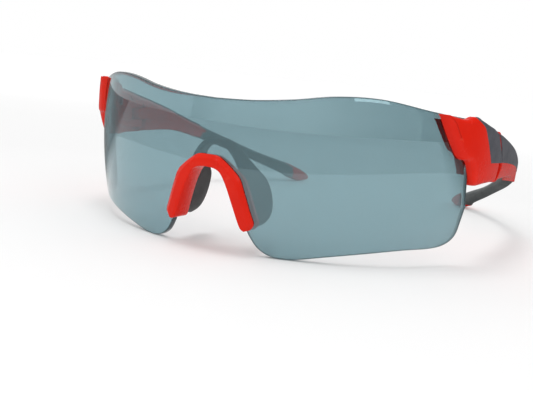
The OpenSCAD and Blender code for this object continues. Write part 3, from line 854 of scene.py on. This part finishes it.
def build_panels(side, mirrored):
    """The dark panels let into the outer faces, one on each side of the seam."""
    rows = 60
    front = spaced(panel_front[::-1], rows)
    columns = np.linspace(0, 1, 61)[:, None]
    # end panel: from its curved front edge to the seam
    low = np.array([[48.2, 32.1], [seam_at(31.55, -SEAM), 31.55]])
    low_run = low[0] * (1 - columns) + low[1] * columns
    top_stop = line_to_seam(top_line, 50, -SEAM, 3)[-1, 0]
    top_y = 37.4 + (top_stop - 37.4) * columns[:, 0]
    top_run = np.stack([top_y, height_at(head_top, top_y) + PANEL_OVER], 1)
    straight_top = top_run[0]

    def end_place(y, z, depth):
        v = np.clip((z - low[0, 1]) / (straight_top[1] - low[0, 1]), 0, 1)
        line = low[0, 0] * (1 - v) + straight_top[0] * v
        bend = np.interp(z, front[:, 1], front[:, 0]) - line
        fade = 1 - step_up(y - line, 0, 9)
        stop = low[1, 0] * (1 - v) + top_stop * v
        rear_bend = (seam_at(np.minimum(z, 43), -SEAM) - stop) * (1 - step_up(stop - y, 0, 5))
        return on_panel(y + bend * fade + rear_bend, z, depth)
    shape = plate(low_run, top_run, end_place, PANEL_THICK, (0.28, 0.08, 0.1, 0.3), rows=34,
                  back_rounding=0.1, turns=3)
    make(f"{side}_end_panel", plate_parts(shape), [GRAPHITE], "front",
         [f"{side}_end_panel"], mirrored)

    # temple panel: from the seam to the grip
    stop_low, stop_top = GRIP_START[0, 0] + 1.3, GRIP_START[1, 0] - 0.35
    low_y = np.linspace(seam_at(31.5, SEAM), stop_low, 91)
    low_run = np.stack([low_y, height_at(panel_low, low_y)], 1)
    top_start = line_to_seam(top_line, 50, SEAM, 3)[-1, 0]
    top_y = np.linspace(top_start, stop_top, 91)
    top_run = np.stack([top_y, height_at(top_line, top_y) + PANEL_OVER], 1)
    place = seam_surface(on_panel, low_run[0], top_run[0], SEAM, reach=10)
    shape = plate(low_run, top_run, place, PANEL_THICK, (0.28, 0.1, 0.1, 0.08), rows=26,
                  back_rounding=0.1, turns=3)
    make(f"{side}_temple_panel", plate_parts(shape), [GRAPHITE], f"{side}_temple",
         [f"{side}_temple_panel"], mirrored)


def build_clamp(side, mirrored):
    """The clamp plate behind the lens, set in from the flange's front edge."""
    gap = LENS_THICK + 0.05

    def place(y, z, depth):
        return np.stack([lens_half_width(y, z, -gap - depth), y, z], -1)
    low, top = spaced(clamp_low, 61), spaced(clamp_top, 61)
    shape = plate(low, top, place, CLAMP_THICK, (0.3, 0.3, 0.3, 0.05), rows=22,
                  back_rounding=0.5)
    make(f"{side}_lens_clamp", plate_parts(shape), [RED], "front", [f"{side}_lens_clamp"],
         mirrored)


build_lens()
build_bridge()
build_saddle()
for side_name, is_mirrored in both:
    build_end_piece(side_name, is_mirrored)
    build_panels(side_name, is_mirrored)
    build_clamp(side_name, is_mirrored)
    build_temple(side_name, is_mirrored)

# The screws stay as the part made them, in worn steel
for node_name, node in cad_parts.items():
    if node_name.endswith("_screw"):
        node.data.materials.clear()
        node.data.materials.append(STEEL)


# ---- Floor, light and camera -----------------------------------------------------------

# What the glasses mirror: how bright each thing is, and where it begins. Turns are
# measured about the upright axis from straight ahead towards the wearer's left.
TABLE_EDGE, TABLE_BEYOND = 0.185, 0.60
BEHIND_FROM, BEHIND_TO, BEHIND_BRIGHT = -0.03, 0.01, 0.22
ROOM_AHEAD, ROOM_LEFT = 0.80, 0.30
UPRIGHT_AT, UPRIGHT_BRIGHT, UPRIGHT_FADE = math.radians(-42), 0.62, 0.34
SIDE_DARK_AT, SIDE_BRIGHT = math.radians(79), 0.25

def product(tree, a, b):
    """Two values multiplied."""
    node = tree.nodes.new("ShaderNodeMath")
    node.operation = "MULTIPLY"
    tree.links.new(a, node.inputs[0])
    tree.links.new(b, node.inputs[1])
    return node.outputs[0]


def mirrored_only(tree, path):
    """1 for a ray that a surface mirrored, 0 for one that came straight or through the lens."""
    through = spread(tree, path.outputs["Is Transmission Ray"], 0, 1, 1.0, 0.0)
    return product(tree, path.outputs["Is Glossy Ray"], through)


def build_floor():
    """A wide flat pale floor. What the glasses mirror of it is bright close by and
    darker past the edge of the table top."""
    run = np.linspace(-2.0, 6.0, 60)
    across = np.linspace(-4.0, 4.0, 60)
    y, x = np.meshgrid(run, across, indexing="ij")
    mesh = bpy.data.meshes.new("floor")
    points = np.stack([x, y, 0 * x - 0.0001], -1).reshape(-1, 3)
    mesh.from_pydata(points.tolist(), [], grid_faces(60, 60)[:, ::-1].tolist())
    material, tree, shader, coords = finish_base("pale_floor", Roughness=0.8,
                                                 Specular_IOR_Level=0.2)
    tint = noise(tree, 3.0, 3)
    tree.links.new(coords, tint.inputs["Vector"])
    colour = blended(tree, tint.outputs["Fac"], (0.87, 0.87, 0.87, 1), (0.89, 0.89, 0.89, 1))
    away = tree.nodes.new("ShaderNodeVectorMath")
    away.operation = "LENGTH"
    centre = tree.nodes.new("ShaderNodeMapping")
    centre.inputs["Scale"].default_value = (0.72, 1.0, 1.0)
    tree.links.new(coords, centre.inputs["Vector"])
    tree.links.new(centre.outputs["Vector"], away.inputs[0])
    path = tree.nodes.new("ShaderNodeLightPath")
    past_edge = spread(tree, away.outputs["Value"], TABLE_EDGE, TABLE_EDGE + 0.004)
    mirrored_away = product(tree, past_edge, mirrored_only(tree, path))
    seen = blended(tree, mirrored_away, colour, (TABLE_BEYOND,) * 3 + (1,))
    # the floor behind the lens is dim in what the red sides mirror
    split = tree.nodes.new("ShaderNodeSeparateXYZ")
    tree.links.new(coords, split.inputs[0])
    behind = spread(tree, split.outputs["Y"], BEHIND_FROM, BEHIND_TO)
    mirrored_behind = product(tree, behind, mirrored_only(tree, path))
    seen = blended(tree, mirrored_behind, seen, (BEHIND_BRIGHT,) * 3 + (1,))
    tree.links.new(seen, shader.inputs["Base Color"])
    glow = spread(tree, away.outputs["Value"], 0.15, 0.7, 0.0, 0.25)
    straight = spread(tree, mirrored_only(tree, path), 0, 1, 1.0, 0.0)
    undiffused = spread(tree, path.outputs["Is Diffuse Ray"], 0, 1, 1.0, 0.0)
    lit = product(tree, product(tree, glow, straight), undiffused)
    tree.links.new(lit, shader.inputs["Emission Strength"])
    shader.inputs["Emission Color"].default_value = (1, 1, 1, 1)
    mesh.materials.append(material)
    floor = bpy.data.objects.new("floor", mesh)
    bpy.context.scene.collection.objects.link(floor)
    floor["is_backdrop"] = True


def area_light(name, place, aim, size, power):
    """A soft square light at place that faces aim, both in metres."""
    data = bpy.data.lights.new(name, "AREA")
    data.energy, data.size = power, size
    light = bpy.data.objects.new(name, data)
    light.location = place
    light.rotation_euler = (Vector(aim) - Vector(place)).to_track_quat("-Z", "Y").to_euler()
    bpy.context.scene.collection.objects.link(light)
    return light


def build_world():
    """White all round, but a dim room where it is seen in reflections."""
    world = bpy.data.worlds.new("studio")
    bpy.context.scene.world = world
    world.use_nodes = True
    tree = world.node_tree
    background = tree.nodes["Background"]
    path = tree.nodes.new("ShaderNodeLightPath")
    coords = tree.nodes.new("ShaderNodeTexCoord")
    split = tree.nodes.new("ShaderNodeSeparateXYZ")
    tree.links.new(coords.outputs["Generated"], split.inputs[0])
    # brightest in front, dim on the wearer's left and behind
    upper = spread(tree, split.outputs["X"], 0.35, 0.95, ROOM_AHEAD, ROOM_LEFT)
    # a dark upright edge on the wearer's right that fades slowly forwards
    turn = tree.nodes.new("ShaderNodeMath")
    turn.operation = "ARCTAN2"
    tree.links.new(split.outputs["X"], turn.inputs[0])
    ahead = spread(tree, split.outputs["Y"], -1, 1, 1, -1)
    tree.links.new(ahead, turn.inputs[1])
    edge = UPRIGHT_AT + 0.012
    sharp = spread(tree, turn.outputs[0], UPRIGHT_AT, edge, 1.0, UPRIGHT_BRIGHT)
    fading = spread(tree, turn.outputs[0], edge, UPRIGHT_AT + UPRIGHT_FADE)
    lost = spread(tree, fading, 0, 1, sharp, 1.0)
    side = spread(tree, turn.outputs[0], SIDE_DARK_AT, SIDE_DARK_AT + 0.03, 1.0, SIDE_BRIGHT)
    room = product(tree, product(tree, upper, lost), side)
    grey = tree.nodes.new("ShaderNodeCombineColor")
    for label in ("Red", "Green", "Blue"):
        tree.links.new(room, grey.inputs[label])
    seen = blended(tree, mirrored_only(tree, path), (1, 1, 1, 1), grey.outputs["Color"])
    dim = blended(tree, path.outputs["Is Diffuse Ray"], seen, (0.88, 0.88, 0.88, 1))
    tree.links.new(dim, background.inputs["Color"])
    background.inputs["Strength"].default_value = 1.0


def build_camera():
    """A long lens from the wearer's left, a little above, rolled slightly."""
    right = Vector((0.90335, 0.41808, 0.09571))
    down = Vector((0.15732, -0.11539, -0.98078))
    ahead = Vector((-0.39900, 0.90105, -0.17001))
    data = bpy.data.cameras.new("camera")
    data.sensor_width, data.lens = 36.0, 51.93
    data.shift_x, data.shift_y = -0.0274, -0.0064
    data.clip_start, data.clip_end = 0.01, 20.0
    camera = bpy.data.objects.new("camera", data)
    turn = Matrix((right, -down, -ahead)).transposed()
    place = Vector((108.969, -275.944, 53.278)) * MM
    camera.matrix_world = Matrix.Translation(place) @ turn.to_4x4()
    bpy.context.scene.collection.objects.link(camera)
    bpy.context.scene.camera = camera


build_floor()
build_world()
area_light("overhead", (-0.05, -0.10, 0.62), (0, 0, 0.02), 0.20, 0.9)
area_light("side", (0.55, -0.45, 0.35), (0.05, -0.02, 0.03), 0.25, 0.35)
area_light("gloss", (-0.02, -0.34, 0.42), (0, -0.07, 0.03), 0.035, 0.10)
build_camera()
bpy.context.scene.view_settings.view_transform = "Standard"

boxes = (cad_box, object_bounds())
{"cad": [list(c) for c in boxes[0]], "visual": [list(c) for c in boxes[1]]}
